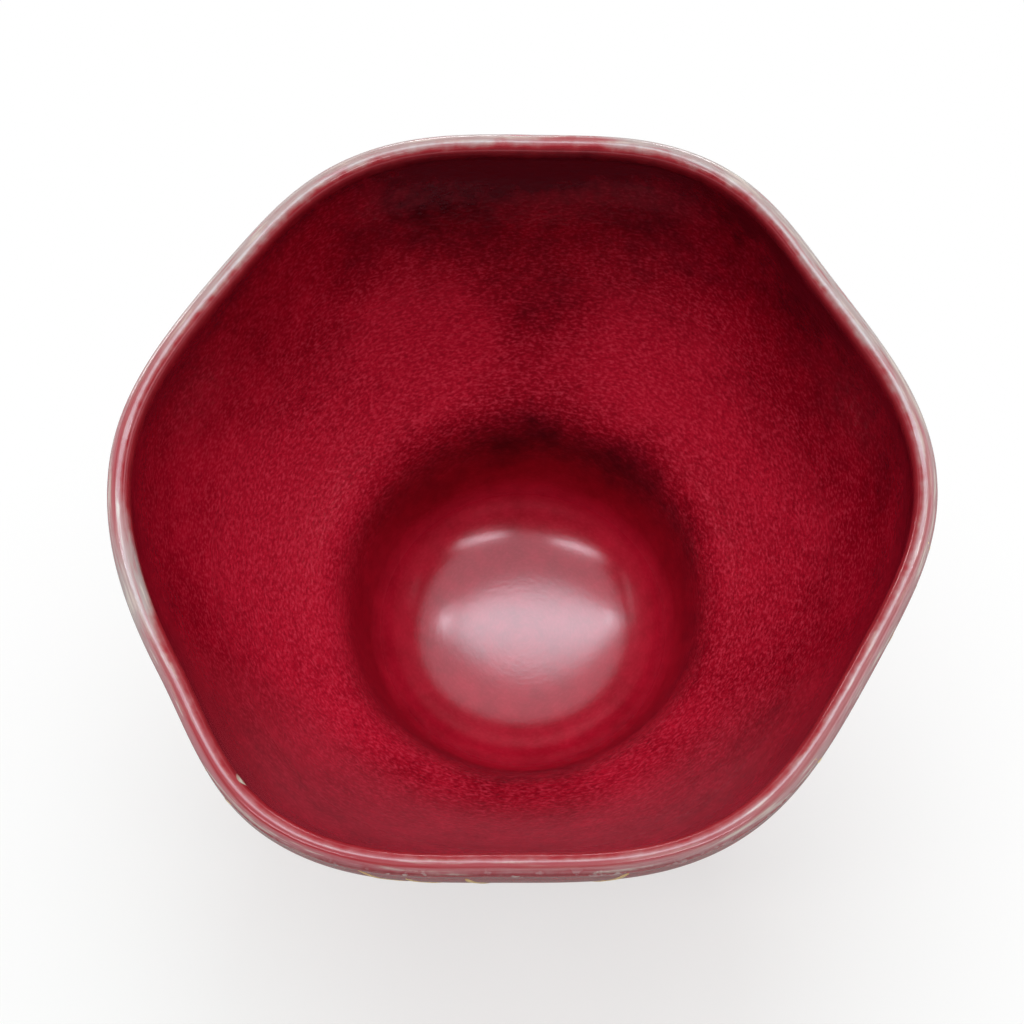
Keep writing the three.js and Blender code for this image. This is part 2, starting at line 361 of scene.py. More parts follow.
def reach_at(size, turns):
    """How far the pressed lip stands off its mean radius at each bearing."""
    marks = np.concatenate([size.corner_bearings, size.side_bearings])
    values = np.concatenate([size.corner_reach, size.side_reach])
    order = np.argsort(marks)
    marks, values = marks[order], values[order]
    marks = np.concatenate([[marks[-1] - math.tau], marks, [marks[0] + math.tau]])
    values = np.concatenate([[values[-1]], values, [values[0]]])
    turns = np.mod(turns, math.tau)
    last = np.clip(np.searchsorted(marks, turns, side="right") - 1, 0, len(marks) - 2)
    share = (turns - marks[last]) / (marks[last + 1] - marks[last])
    return values[last] + (values[last + 1] - values[last]) * (1 - np.cos(math.pi * share)) / 2


def smooth(values, low, high):
    share = np.clip((values - low) / (high - low), 0, 1)
    return share * share * (3 - 2 * share)


def formed(size, places):
    """Round places moved as the potter moved the clay: pressed into six sides and left a little uneven."""
    turns = np.arctan2(places[:, 1], places[:, 0])
    heights = places[:, 2]
    above_well = smooth(heights, size.shoulder_height, band_height(size))
    out = reach_at(size, turns) * above_well
    spiral = math.tau * heights / size.ring_pitch + turns
    out += size.ring_depth * np.sin(spiral) * above_well
    noise.seed_set(WOBBLE_SEED)
    soft = np.array([noise.noise_vector(Vector(place) / size.wobble_width) for place in places])
    stands = smooth(heights, 0, size.floor_height)[:, None]
    moved = places + soft * size.wobble * stands
    moved[:, 0] += out * np.cos(turns)
    moved[:, 1] += out * np.sin(turns)
    return moved


def places_of(piece):
    places = np.empty(len(piece.data.vertices) * 3)
    piece.data.vertices.foreach_get("co", places)
    return places.reshape(-1, 3)


def move_places(piece, places):
    piece.data.vertices.foreach_set("co", places.ravel())
    piece.data.update()


def spun(name, outline, steps):
    """A solid turned on the wheel: a point drawn along the outline, spun into a sector that is copied."""
    bpy.ops.object.select_all(action="DESELECT")
    bpy.ops.mesh.primitive_plane_add(size=MM)
    piece = bpy.context.object
    piece.name = name
    piece.data.name = name
    bpy.ops.object.mode_set(mode="EDIT")
    bpy.ops.mesh.merge(type="CENTER")
    bpy.ops.transform.translate(value=outline[0])
    for before, after in zip(outline, outline[1:]):
        bpy.ops.mesh.extrude_region_move(TRANSFORM_OT_translate={"value": after - before})
    sector = math.tau / SECTORS
    bpy.ops.mesh.select_all(action="SELECT")
    bpy.ops.mesh.spin(steps=steps, angle=sector, center=(0, 0, 0), axis=(0, 0, 1))
    bpy.ops.mesh.select_all(action="SELECT")
    copies = SECTORS - 1
    bpy.ops.mesh.spin(steps=copies, dupli=True, angle=copies * sector, center=(0, 0, 0), axis=(0, 0, 1))
    bpy.ops.mesh.select_all(action="SELECT")
    bpy.ops.mesh.remove_doubles(threshold=MERGE)
    bpy.ops.mesh.normals_make_consistent(inside=False)
    bpy.ops.object.mode_set(mode="OBJECT")
    return piece


def mark_crest_way(piece, skin):
    """Gives each point of a glaze its distance along the glaze from the crest of the lip."""
    crest = max(range(len(skin)), key=lambda i: skin[i].z)
    steps = [0.0] + [(b - a).length for a, b in zip(skin, skin[1:])]
    ways = (np.cumsum(steps) - np.cumsum(steps)[crest]) / MM
    tree = kdtree.KDTree(len(skin))
    for i, point in enumerate(skin):
        tree.insert(point, i)
    tree.balance()
    places = places_of(piece)
    outline = np.stack([np.hypot(places[:, 0], places[:, 1]), places[:, 2]], 1)
    rows, found = np.unique(np.round(outline / MERGE).astype(int), axis=0, return_inverse=True)
    row_ways = np.array([ways[tree.find(at(*(row * MERGE)))[1]] for row in rows])
    mark = piece.data.attributes.new(CREST_WAY, "FLOAT", "POINT")
    mark.data.foreach_set("value", row_ways[found.ravel()].astype(np.float32))


def dressed(piece, material, node):
    """Finishes a piece: smooth faces, its material, its body, and the solid that it stands for."""
    bpy.ops.object.select_all(action="DESELECT")
    piece.select_set(True)
    bpy.context.view_layer.objects.active = piece
    bpy.ops.object.shade_smooth_by_angle(angle=SHARP)
    piece.data.materials.clear()
    piece.data.materials.append(material)
    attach(piece, BODY)
    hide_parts(node)


def per_metre(millimetres):
    """The scale of a pattern whose features have that width."""
    return 1 / (millimetres * MM)


def set_inputs(tree, node, values):
    """Gives a node's inputs their links and constants."""
    for key, value in values.items():
        if isinstance(value, bpy.types.NodeSocket):
            tree.links.new(value, node.inputs[key])
        else:
            node.inputs[key].default_value = value


def add_node(tree, kind, values=None, out=0, stops=(), **settings):
    """Adds a node with its settings, inputs and colour stops, and gives back one output."""
    node = tree.nodes.new("ShaderNode" + kind)
    for key, value in settings.items():
        setattr(node, key, value)
    set_inputs(tree, node, values or {})
    for i, (place, stop) in enumerate(stops):
        elements = node.color_ramp.elements
        element = elements[i] if i < 2 else elements.new(place)
        element.position = place
        element.color = stop
    return node.outputs[out]


def new_material(name):
    """A material, its node tree, its shader, and the function that adds a node to that tree."""
    material = bpy.data.materials.new(name)
    material.use_nodes = True
    tree = material.node_tree
    return material, tree, tree.nodes["Principled BSDF"], functools.partial(add_node, tree)


def grey(value):
    return (value, value, value, 1)


# How far the red comes over the lip, as bearing from -X in degrees and share
LIP_COPPER = (
    (0, 0.4), (10, 0.3), (20, 0.05), (32, 0.25), (50, 0.35), (64, 0.45), (72, 0.6), (98, 0.62), (108, 0.45),
    (118, 0.4), (130, 0.4), (150, 0.3), (178, 0.35), (200, 0.1), (240, 0.1), (256, 0.2), (260, 0.75),
    (265, 0.75), (268, 0.3), (272, 0.6), (276, 0.25), (325, 0.1), (337, 0.5), (349, 0.5), (354, 0.4),
    (360, 0.4),
)

# How much copper stained the pale band itself, as bearing from -X in degrees and share
LIP_BLUSH = (
    (0, 0.85), (8, 0.65), (14, 0.2), (21, 0.15), (28, 0.6), (40, 0.9), (70, 0.95), (112, 0.7), (135, 0.55),
    (178, 0.6), (190, 0.35), (205, 0.1), (255, 0.1), (259, 0.6), (266, 0.6), (270, 0.2), (325, 0.15),
    (338, 0.4), (350, 0.75), (360, 0.85),
)

# Share of painted sheen, a greyish-pink reflection under the near lip, and the Y between which it comes in,
# in metres
PAINTED_SHEEN_SHARE = 0.1
PAINTED_SHEEN_NEAR = (-0.016, -0.042)

# Widths of the glaze's patterns, in millimetres
PEEL, GRAIN, CLOUD, MOTTLE, LIP_LINE, LIP_WANDER = 0.8, 0.42, 9, 2.4, 0.5, 2

# Scale of patterns round the bowl, where the wheel drew them out
THROWN = (0.65, 0.65, 0)
LIP_DRAWN = (0.07, 0.07, 0)

# Where the pale band runs down inside, partly pale glaze and partly a painted highlight, and how wide, in
# metres, and how far down, in millimetres
PALE_RUN_AND_HIGHLIGHT_PLACE = (-0.051, -0.013, 0.078)
PALE_RUN_AND_HIGHLIGHT_REACH = 0.013
PALE_RUN_AND_HIGHLIGHT = 2.2

# How dark the red is along the glaze, as millimetres from the crest and share of the darkest
WAY_LOW, WAY_HIGH = -105, 105
RED_DARKNESS_ALONG = (
    (-105, 0.34), (-84, 0.33), (-77, 0.36), (-72, 0.42), (-66, 0.62), (-61, 0.66), (-57, 0.46), (-53, 0.28),
    (-40, 0.26), (-32, 0.4), (-20, 0.52), (-10, 0.68), (-4, 0.9), (4, 0.45), (30, 0.35), (70, 0.45),
    (95, 0.85),
)

# Soft patches painted lighter or darker on the walls: painted reflections of the lit walls and painted shade.
# Place and reach in millimetres, and share added
PAINTED_LIGHT_PATCHES = (
    ((-49, 8, 64), 30, -0.22), ((-36, 36, 72), 22, -0.18), ((3, 50, 66), 11, -0.16), ((-15, 47, 62), 14, 0.1),
    ((22, 45, 61), 16, 0.12), ((-12, 37, 43), 13, -0.2), ((20, 34, 43), 15, -0.2), ((2, 41, 48), 13, 0.34),
    ((-16, 22, 33), 11, 0.1), ((-6, 28, 33), 12, 0.16), ((6, 28, 33), 12, 0.2), ((17, 23, 33), 12, 0.3),
    ((24, 14, 33), 11, 0.24), ((35, -12, 42), 24, 0.2), ((0, -32, 38), 26, 0.28), ((-20, -36, 48), 20, 0.16),
    ((26, -32, 48), 20, 0.18), ((44, 21, 70), 14, -0.12), ((0, 50, 76), 32, 0.3), ((-19, 40, 51), 13, -0.24),
    ((27, 37, 52), 12, -0.1), ((-27, 42, 61), 9, 0.2), ((40, 32, 70), 13, 0.06), ((-27, -4, 32), 15, -0.22),
    ((-35, 10, 43), 24, -0.14), ((0, 30, 34), 15, 0.2), ((33, 38, 72), 34, 0.14), ((-12, 49, 68), 24, 0.1),
    ((44, 20, 62), 24, 0.12), ((-24, 10, 24), 16, -0.16),
)


def copper_red_glaze(name, tints, nick, satin, refraction):
    """Copper-red stoneware glaze, reduction fired: deep wine red with paler grains where bubbles broke,
    dimpled like orange peel, glossy in the well and satin on the walls, where a copper film tints its gloss.
    Painted reflections and painted shade lie in soft patches on the walls, and a greyish-pink painted sheen
    under the near lip. Over the lip it runs thin and its copper burns off in lines."""
    material, tree, shader, add = new_material(name)
    place = add("TexCoord", out="Object")
    way = add("Attribute", out="Fac", attribute_name=CREST_WAY)
    axes = tree.nodes.new("ShaderNodeSeparateXYZ")
    tree.links.new(place, axes.inputs[0])
    x, y = axes.outputs["X"], axes.outputs["Y"]

    # Smooth and clear where the glaze pooled in the well and on the lip, satin with orange peel on the walls
    off_crest = add("Math", {0: way}, operation="ABSOLUTE")
    off_lip = add("MapRange", {"Value": off_crest, "From Min": 1.5, "From Max": 4})
    off_pool = add("MapRange", {"Value": way, "From Min": -81, "From Max": -71})
    low_wall = add("MapRange", {"Value": off_crest, "From Min": 20, "From Max": 38, "To Min": 0.5})
    satin_wall = add("Math", {0: low_wall, 1: off_lip}, operation="MULTIPLY")
    dull = add("Math", {0: off_pool, 1: satin_wall}, operation="MINIMUM")
    clear = add("MapRange", {"Value": way, "From Min": -20, "From Max": -50, "To Min": 0.07, "To Max": 0.17})
    rough = add("MapRange", {"Value": dull, "To Min": clear, "To Max": satin})
    tint = add("Mix", {MIX_FACTOR: dull, MIX_A: tints.gloss, MIX_B: tints.film}, **MIX_COLOURS)
    off_well = add("MapRange", {"Value": way, "From Min": -66, "From Max": -55})
    peeled = add("Math", {0: off_well, 1: satin_wall}, operation="MINIMUM")
    # Painted sheen: a greyish-pink reflection painted into the glaze under the lip on the near side, smooth
    # and without grains
    under_lip = add("MapRange", {"Value": way, "From Min": -51, "From Max": -41}, **SOFTLY)
    inside_only = add("MapRange", {"Value": way, "From Min": -2, "From Max": -5})
    near_side = add("MapRange", {"Value": y, "From Min": PAINTED_SHEEN_NEAR[0], "From Max": PAINTED_SHEEN_NEAR[1]})
    near_inside = add("Math", {0: inside_only, 1: near_side}, operation="MULTIPLY")
    painted_sheen = add("Math", {0: under_lip, 1: near_inside}, operation="MULTIPLY")
    bare = add("MapRange", {"Value": painted_sheen, "To Min": 1, "To Max": 0.4})
    wall = add("Math", {0: peeled, 1: bare}, operation="MULTIPLY")
    # Peel and grains are longer round the bowl than down it, as the wheel drew them
    across = add("Math", {0: way, 1: MM}, operation="MULTIPLY")
    thrown = add("Mapping", {"Vector": place, "Scale": THROWN})
    down = add("CombineXYZ", {"Z": across})
    wheel = add("VectorMath", {0: thrown, 1: down}, operation="ADD")
    peel = add("TexNoise", {"Vector": wheel, "Scale": per_metre(PEEL), "Detail": 2})
    dimpled = add("MapRange", {"Value": wall, "To Min": 0.06, "To Max": 0.8})
    bump = add("Bump", {"Height": peel, "Strength": dimpled, "Distance": 0.18 * MM})

    # Darker under the lip, in the well's side and at the foot
    along_glaze = add("MapRange", {"Value": way, "From Min": WAY_LOW, "From Max": WAY_HIGH})
    copper = add("ValToRGB", {"Fac": along_glaze}, stops=[
        ((mark - WAY_LOW) / (WAY_HIGH - WAY_LOW), grey(share)) for mark, share in RED_DARKNESS_ALONG
    ])
    # Painted reflections and painted shade: each patch lightens or darkens the red
    for middle, reach, added in PAINTED_LIGHT_PATCHES:
        off = add("VectorMath", {0: place, 1: Vector(middle) * MM}, out="Value", operation="DISTANCE")
        patch = add("MapRange", {
            "Value": off, "From Min": reach * MM, "From Max": 0, "To Max": added,
        }, **SOFTLY)
        copper = add("Math", {0: copper, 1: patch}, operation="ADD")
    clouds = add("TexNoise", {"Vector": place, "Scale": per_metre(CLOUD), "Detail": 5})
    cloudy = add("MapRange", {"Value": clouds, "To Min": -0.25, "To Max": 0.25})
    copper = add("Math", {0: copper, 1: cloudy}, operation="ADD")
    mottles = add("TexNoise", {"Vector": place, "Scale": per_metre(MOTTLE), "Detail": 3})
    mottled = add("MapRange", {
        "Value": mottles, "From Min": 0.3, "From Max": 0.7, "To Min": -0.08, "To Max": 0.08,
    })
    copper = add("Math", {0: copper, 1: mottled}, operation="ADD")
    deep = add("ValToRGB", {"Fac": copper}, stops=(
        (0.2, tints.crimson), (0.55, tints.copper), (1, tints.wine),
    ))
    # Grains are about a third of a millimetre wide, drawn a little coarser so that they show
    grains = add("TexNoise", {"Vector": wheel, "Scale": per_metre(GRAIN), "Detail": 2})
    shown = add("MapRange", {"Value": copper, "From Min": 1, "From Max": 0.5, "To Min": 0.05})
    on_wall = add("MapRange", {"Value": wall, "To Min": 0.2})
    light = add("MapRange", {"Value": grains, "From Min": 0.48, "From Max": 0.75, "To Max": 0.5})
    lit = add("Math", {0: light, 1: shown}, operation="MULTIPLY")
    light_grain = add("Math", {0: lit, 1: on_wall}, operation="MULTIPLY")
    dark = add("MapRange", {"Value": grains, "From Min": 0.5, "From Max": 0.28, "To Max": 0.34})
    dark_grain = add("Math", {0: dark, 1: on_wall}, operation="MULTIPLY")
    grainy = add("Mix", {MIX_FACTOR: light_grain, MIX_A: deep, MIX_B: tints.rose}, **MIX_COLOURS)
    red = add("Mix", {MIX_FACTOR: dark_grain, MIX_A: grainy, MIX_B: tints.wine}, **MIX_COLOURS)
    # Painted sheen mixed into the red under the near lip
    sheen_mix = add("Math", {0: painted_sheen, 1: PAINTED_SHEEN_SHARE}, operation="MULTIPLY")
    red = add("Mix", {MIX_FACTOR: sheen_mix, MIX_A: red, MIX_B: tints.painted_sheen}, **MIX_COLOURS)

    # The burnt lip: fine lines along it, edges that wander and break, and more copper left at places
    long_way = add("Mapping", {"Vector": place, "Scale": LIP_DRAWN})
    drawn = add("VectorMath", {0: long_way, 1: down}, operation="ADD")
    lines = add("TexNoise", {"Vector": drawn, "Scale": per_metre(LIP_LINE), "Detail": 3})
    wander = add("TexNoise", {"Vector": place, "Scale": per_metre(LIP_WANDER), "Detail": 5})
    lined = add("Math", {0: lines, 1: 1.2, 2: way}, operation="MULTIPLY_ADD")
    shifted = add("Math", {0: wander, 1: 1.8, 2: lined}, operation="MULTIPLY_ADD")
    bearing = add("Math", {0: y, 1: x}, operation="ARCTAN2")
    turn = add("Math", {0: bearing, 1: 1 / math.tau, 2: 0.5}, operation="MULTIPLY_ADD")
    kept = add("ValToRGB", {"Fac": turn}, stops=[(mark / 360, grey(share)) for mark, share in LIP_COPPER])
    stained = add("ValToRGB", {"Fac": turn}, stops=[(mark / 360, grey(share)) for mark, share in LIP_BLUSH])
    # The pale band runs down inside at the left: partly pale glaze, partly a painted highlight
    off_pale_run = add("VectorMath", {0: place, 1: PALE_RUN_AND_HIGHLIGHT_PLACE}, out="Value", operation="DISTANCE")
    pale_run_and_highlight = add("MapRange", {
        "Value": off_pale_run, "From Min": PALE_RUN_AND_HIGHLIGHT_REACH, "From Max": 0, "To Max": PALE_RUN_AND_HIGHLIGHT,
    }, **SOFTLY)
    inwards = add("Math", {0: kept, 1: -0.8, 2: shifted}, operation="MULTIPLY_ADD")
    inwards = add("Math", {0: inwards, 1: pale_run_and_highlight}, operation="ADD")
    outwards = add("Math", {0: kept, 1: 3, 2: shifted}, operation="MULTIPLY_ADD")
    broken = add("MapRange", {"Value": wander, "From Min": 0.56, "From Max": 0.66, "To Max": 2})
    outwards = add("Math", {0: outwards, 1: broken}, operation="SUBTRACT")
    inner = add("MapRange", {"Value": inwards, "From Min": -0.1, "From Max": 1.7}, **SOFTLY)
    outer = add("MapRange", {"Value": outwards, "From Min": 5.4, "From Max": 3.9}, **SOFTLY)
    burnt = add("Math", {0: inner, 1: outer}, operation="MULTIPLY")
    thin_inner = add("MapRange", {"Value": inwards, "From Min": -2.4, "From Max": 0.2})
    thin_outer = add("MapRange", {"Value": outwards, "From Min": 7, "From Max": 5.4})
    thin = add("Math", {0: thin_inner, 1: thin_outer}, operation="MULTIPLY")
    fading = add("Mix", {MIX_FACTOR: thin, MIX_A: red, MIX_B: tints.thin_red}, **MIX_COLOURS)
    pale = add("Mix", {MIX_FACTOR: stained, MIX_A: tints.mauve, MIX_B: tints.pink}, **MIX_COLOURS)
    palest = add("MapRange", {"Value": lines, "From Min": 0.46, "From Max": 0.34, "To Max": 0.8})
    creamy = add("Mix", {MIX_FACTOR: palest, MIX_A: pale, MIX_B: tints.cream}, **MIX_COLOURS)
    flushed = add("MapRange", {"Value": lines, "From Min": 0.54, "From Max": 0.7, "To Max": 0.7})
    streaked = add("Mix", {MIX_FACTOR: flushed, MIX_A: creamy, MIX_B: tints.blush}, **MIX_COLOURS)
    strayed = add("Math", {0: lines, 1: 0.8, 2: way}, operation="MULTIPLY_ADD")
    off_trace = add("Math", {0: strayed, 1: 0.75}, operation="SUBTRACT")
    off_trace = add("Math", {0: off_trace}, operation="ABSOLUTE")
    trace = add("MapRange", {"Value": off_trace, "From Min": 0.6, "From Max": 0.25, "To Max": stained})
    marked = add("Mix", {MIX_FACTOR: trace, MIX_A: streaked, MIX_B: tints.thin_red}, **MIX_COLOURS)
    glazed = add("Mix", {MIX_FACTOR: burnt, MIX_A: fading, MIX_B: marked}, **MIX_COLOURS)

    # Bare clay in the nick
    off_nick = add("VectorMath", {0: place, 1: nick}, out="Value", operation="DISTANCE")
    nicked = add("MapRange", {"Value": off_nick, "From Min": 1.1 * MM, "From Max": 0.8 * MM})
    final = add("Mix", {MIX_FACTOR: nicked, MIX_A: glazed, MIX_B: tints.clear}, **MIX_COLOURS)
    set_inputs(tree, shader, {
        "Base Color": final, "Roughness": rough, "Specular Tint": tint, "Normal": bump, "IOR": refraction,
    })
    return material


def buff_stoneware(name, tints):
    """Buff stoneware, thrown and turned: dry and matt, with fine grog, iron specks and turning lines."""
    material, tree, shader, add = new_material(name)
    place = add("TexCoord", out="Object")
    grog = add("TexNoise", {"Vector": place, "Scale": per_metre(1.1), "Detail": 5})
    dark = [c * 0.72 for c in tints.clay[:3]] + [1]
    body = add("ValToRGB", {"Fac": grog}, stops=((0.3, dark), (0.65, tints.clay)))
    cells = add("TexVoronoi", {"Vector": place, "Scale": per_metre(1.7)}, out="Distance")
    speck = add("MapRange", {"Value": cells, "From Min": 0.16, "From Max": 0.08, "To Max": 0.8})
    speckled = add("Mix", {MIX_FACTOR: speck, MIX_A: body, MIX_B: tints.iron}, **MIX_COLOURS)
    rough = add("MapRange", {"Value": grog, "To Min": 0.7, "To Max": 0.95})
    lines = add("TexWave", {
        "Vector": place, "Scale": per_metre(7), "Distortion": 1.5, "Detail": 2,
    }, out="Fac", wave_type="BANDS", bands_direction="Z")
    height = add("Math", {0: lines, 1: 0.5, 2: grog}, operation="MULTIPLY_ADD")
    bump = add("Bump", {"Height": height, "Strength": 0.6, "Distance": 0.12 * MM})
    set_inputs(tree, shader, {"Base Color": speckled, "Roughness": rough, "Normal": bump, "IOR": 1.5})
    return material


def clear_glaze(name, tints):
    """Clear stoneware glaze over clay: glossy, the clay's colour through it, crossed by stained hairlines."""
    material, tree, shader, add = new_material(name)
    place = add("TexCoord", out="Object")
    cloud = add("TexNoise", {"Vector": place, "Scale": per_metre(7), "Detail": 4})
    dark = [c * 0.82 for c in tints.clear[:3]] + [1]
    body = add("ValToRGB", {"Fac": cloud}, stops=((0.35, dark), (0.65, tints.clear)))
    cells = add("TexVoronoi", {"Vector": place, "Scale": per_metre(4.5)}, out="Distance",
                feature="DISTANCE_TO_EDGE")
    line = add("MapRange", {"Value": cells, "From Min": 0.025, "From Max": 0.005, "To Max": 0.7})
    crazed = add("Mix", {MIX_FACTOR: line, MIX_A: body, MIX_B: tints.craze}, **MIX_COLOURS)
    bump = add("Bump", {"Height": cloud, "Strength": 0.4, "Distance": 0.2 * MM})
    set_inputs(tree, shader, {"Base Color": crazed, "Roughness": 0.16, "Normal": bump, "IOR": 1.55})
    return material


def burnished_gold(name, tints):
    """Gold brushed on the glaze, fired and burnished: warm metal, streaked along the stroke."""
    material, tree, shader, add = new_material(name)
    place = add("TexCoord", out="Object")
    drawn = add("Mapping", {"Vector": place, "Scale": (1, 1, 0.2)})
    brush = add("TexNoise", {"Vector": drawn, "Scale": per_metre(0.4), "Detail": 4})
    body = add("ValToRGB", {"Fac": brush}, stops=((0.3, tints.gold_thin), (0.6, tints.gold)))
    rough = add("MapRange", {"Value": brush, "To Min": 0.5, "To Max": 0.3})
    bump = add("Bump", {"Height": brush, "Strength": 0.4, "Distance": 0.03 * MM})
    set_inputs(tree, shader, {"Base Color": body, "Roughness": rough, "Normal": bump, "Metallic": 0.45})
    return material


# Middle of the bowl's shade on the paper, in metres
SHADE_PLACE = (-0.005, -0.055, 0)


def white_paper(name, tints):
    """Seamless white paper: matt, with the faintest cloudiness. To the camera it glows white as painted
    light, less round the middle of the bowl's shade, which lightens that shade;
    to the glaze it glows white only far off, and nearer it shows painted shade."""
    material, tree, shader, add = new_material(name)
    place = add("TexCoord", out="Object")
    cloud = add("TexNoise", {"Vector": place, "Scale": per_metre(60), "Detail": 3})
    shade = [c * 0.985 for c in tints.table[:3]] + [1]
    body = add("ValToRGB", {"Fac": cloud}, stops=((0.35, shade), (0.65, tints.table)))
    rays = tree.nodes.new("ShaderNodeLightPath")
    off = add("VectorMath", {0: place}, out="Value", operation="LENGTH")
    off_shade = add("VectorMath", {0: place, 1: SHADE_PLACE}, out="Value", operation="DISTANCE")
    # Painted light: a white glow for the camera, fading to 57 per cent round the middle of the bowl's shade
    bright = add("MapRange", {
        "Value": off_shade, "From Min": 0.04, "From Max": 0.12, "To Min": 0.57, "To Max": 1,
    })
    seen = add("Math", {0: bright, 1: rays.outputs["Is Camera Ray"]}, operation="MULTIPLY")
    far = add("MapRange", {"Value": off, "From Min": 0.1, "From Max": 0.6}, **SOFTLY)
    mirrors = add("Math", {0: rays.outputs["Is Glossy Ray"], 1: rays.outputs["Is Transmission Ray"]},
                  operation="MAXIMUM")
    mirrored = add("Math", {0: far, 1: mirrors}, operation="MULTIPLY")
    # Painted shade: as mirrored, the paper is darkened 40 per cent towards black everywhere, for the bowl's
    # shade under it
    painted_shade = add("Math", {0: mirrors, 1: 0.4}, operation="MULTIPLY")
    sheet_colour = add("Mix", {MIX_FACTOR: painted_shade, MIX_A: body, MIX_B: grey(0.02)}, **MIX_COLOURS)
    set_inputs(tree, shader, {"Base Color": sheet_colour, "Roughness": 0.9, "Specular IOR Level": 0.2})
    lit = add("Math", {0: seen, 1: mirrored}, operation="MAXIMUM")
    white = add("Emission", {"Color": grey(1), "Strength": 1})
    sheet = add("MixShader", {0: lit, 1: shader.outputs[0], 2: white})
    set_inputs(tree, tree.nodes["Material Output"], {"Surface": sheet})
    return material


def nick_place(size):
    """Middle of the nick, on the inner edge of the pressed lip."""
    turn = size.nick_bearing
    radius = size.lip_radius - lip_round(size)
    spot = np.array([[radius * math.cos(turn), radius * math.sin(turn), size.lip_height - size.nick_drop]])
    return Vector(formed(size, spot)[0])


def whole_skin(size, pitch):
    return [*inside_skin(size, pitch), *lip_skin(size, LIP_PITCH), *outside_skin(size, pitch)]


class TEABOWL_OT_body(bpy.types.Operator):
    """Throws the stoneware body"""

    bl_idname = "tea_bowl.add_body"
    bl_label = "Stoneware Body"

    def execute(self, context):
        size, tints = context.scene.tea_bowl_sizes, context.scene.tea_bowl_colours
        clay = sunk(whole_skin(size, BACK_PITCH / 2), size.glaze + size.fuse_gap)
        heel = at(size.foot_radius, size.foot_height)
        cove = ease(clay[-1], clay[-1].lerp(heel, COVE_SHARE) + COVE_HOLLOW, heel, LIP_PITCH)
        base = at(0, size.foot_height)
        piece = spun("thrown_body", [*clay, *cove, base], CLAY_STEPS)
        move_places(piece, formed(size, places_of(piece)))
        dressed(piece, buff_stoneware("Buff stoneware, thrown", tints), "stoneware_body")
        return {"FINISHED"}


class TEABOWL_OT_foot(bpy.types.Operator):
    """Turns the foot ring"""

    bl_idname = "tea_bowl.add_foot"
    bl_label = "Foot Ring"

    def execute(self, context):
        size, tints = context.scene.tea_bowl_sizes, context.scene.tea_bowl_colours
        top = size.foot_height - size.fuse_gap
        inner = size.foot_radius - size.foot_width
        base = size.foot_radius - size.foot_taper
        bevel = size.foot_bevel
        corner_out, corner_in = at(base, 0), at(inner, 0)
        outline = [at(inner, top), at(size.foot_radius, top)]
        outline += straight(outline[-1], at(base, bevel), FACE_PITCH)
        outline += ease(outline[-1], corner_out, at(base - bevel, 0), LIP_PITCH)
        outline += straight(outline[-1], at(inner + bevel, 0), FACE_PITCH)
        outline += ease(outline[-1], corner_in, at(inner, bevel), LIP_PITCH)
        outline += straight(outline[-1], at(inner, top), FACE_PITCH)
        piece = spun("turned_foot", outline, CLAY_STEPS)
        dressed(piece, buff_stoneware("Buff stoneware, turned", tints), "foot_ring")
        return {"FINISHED"}


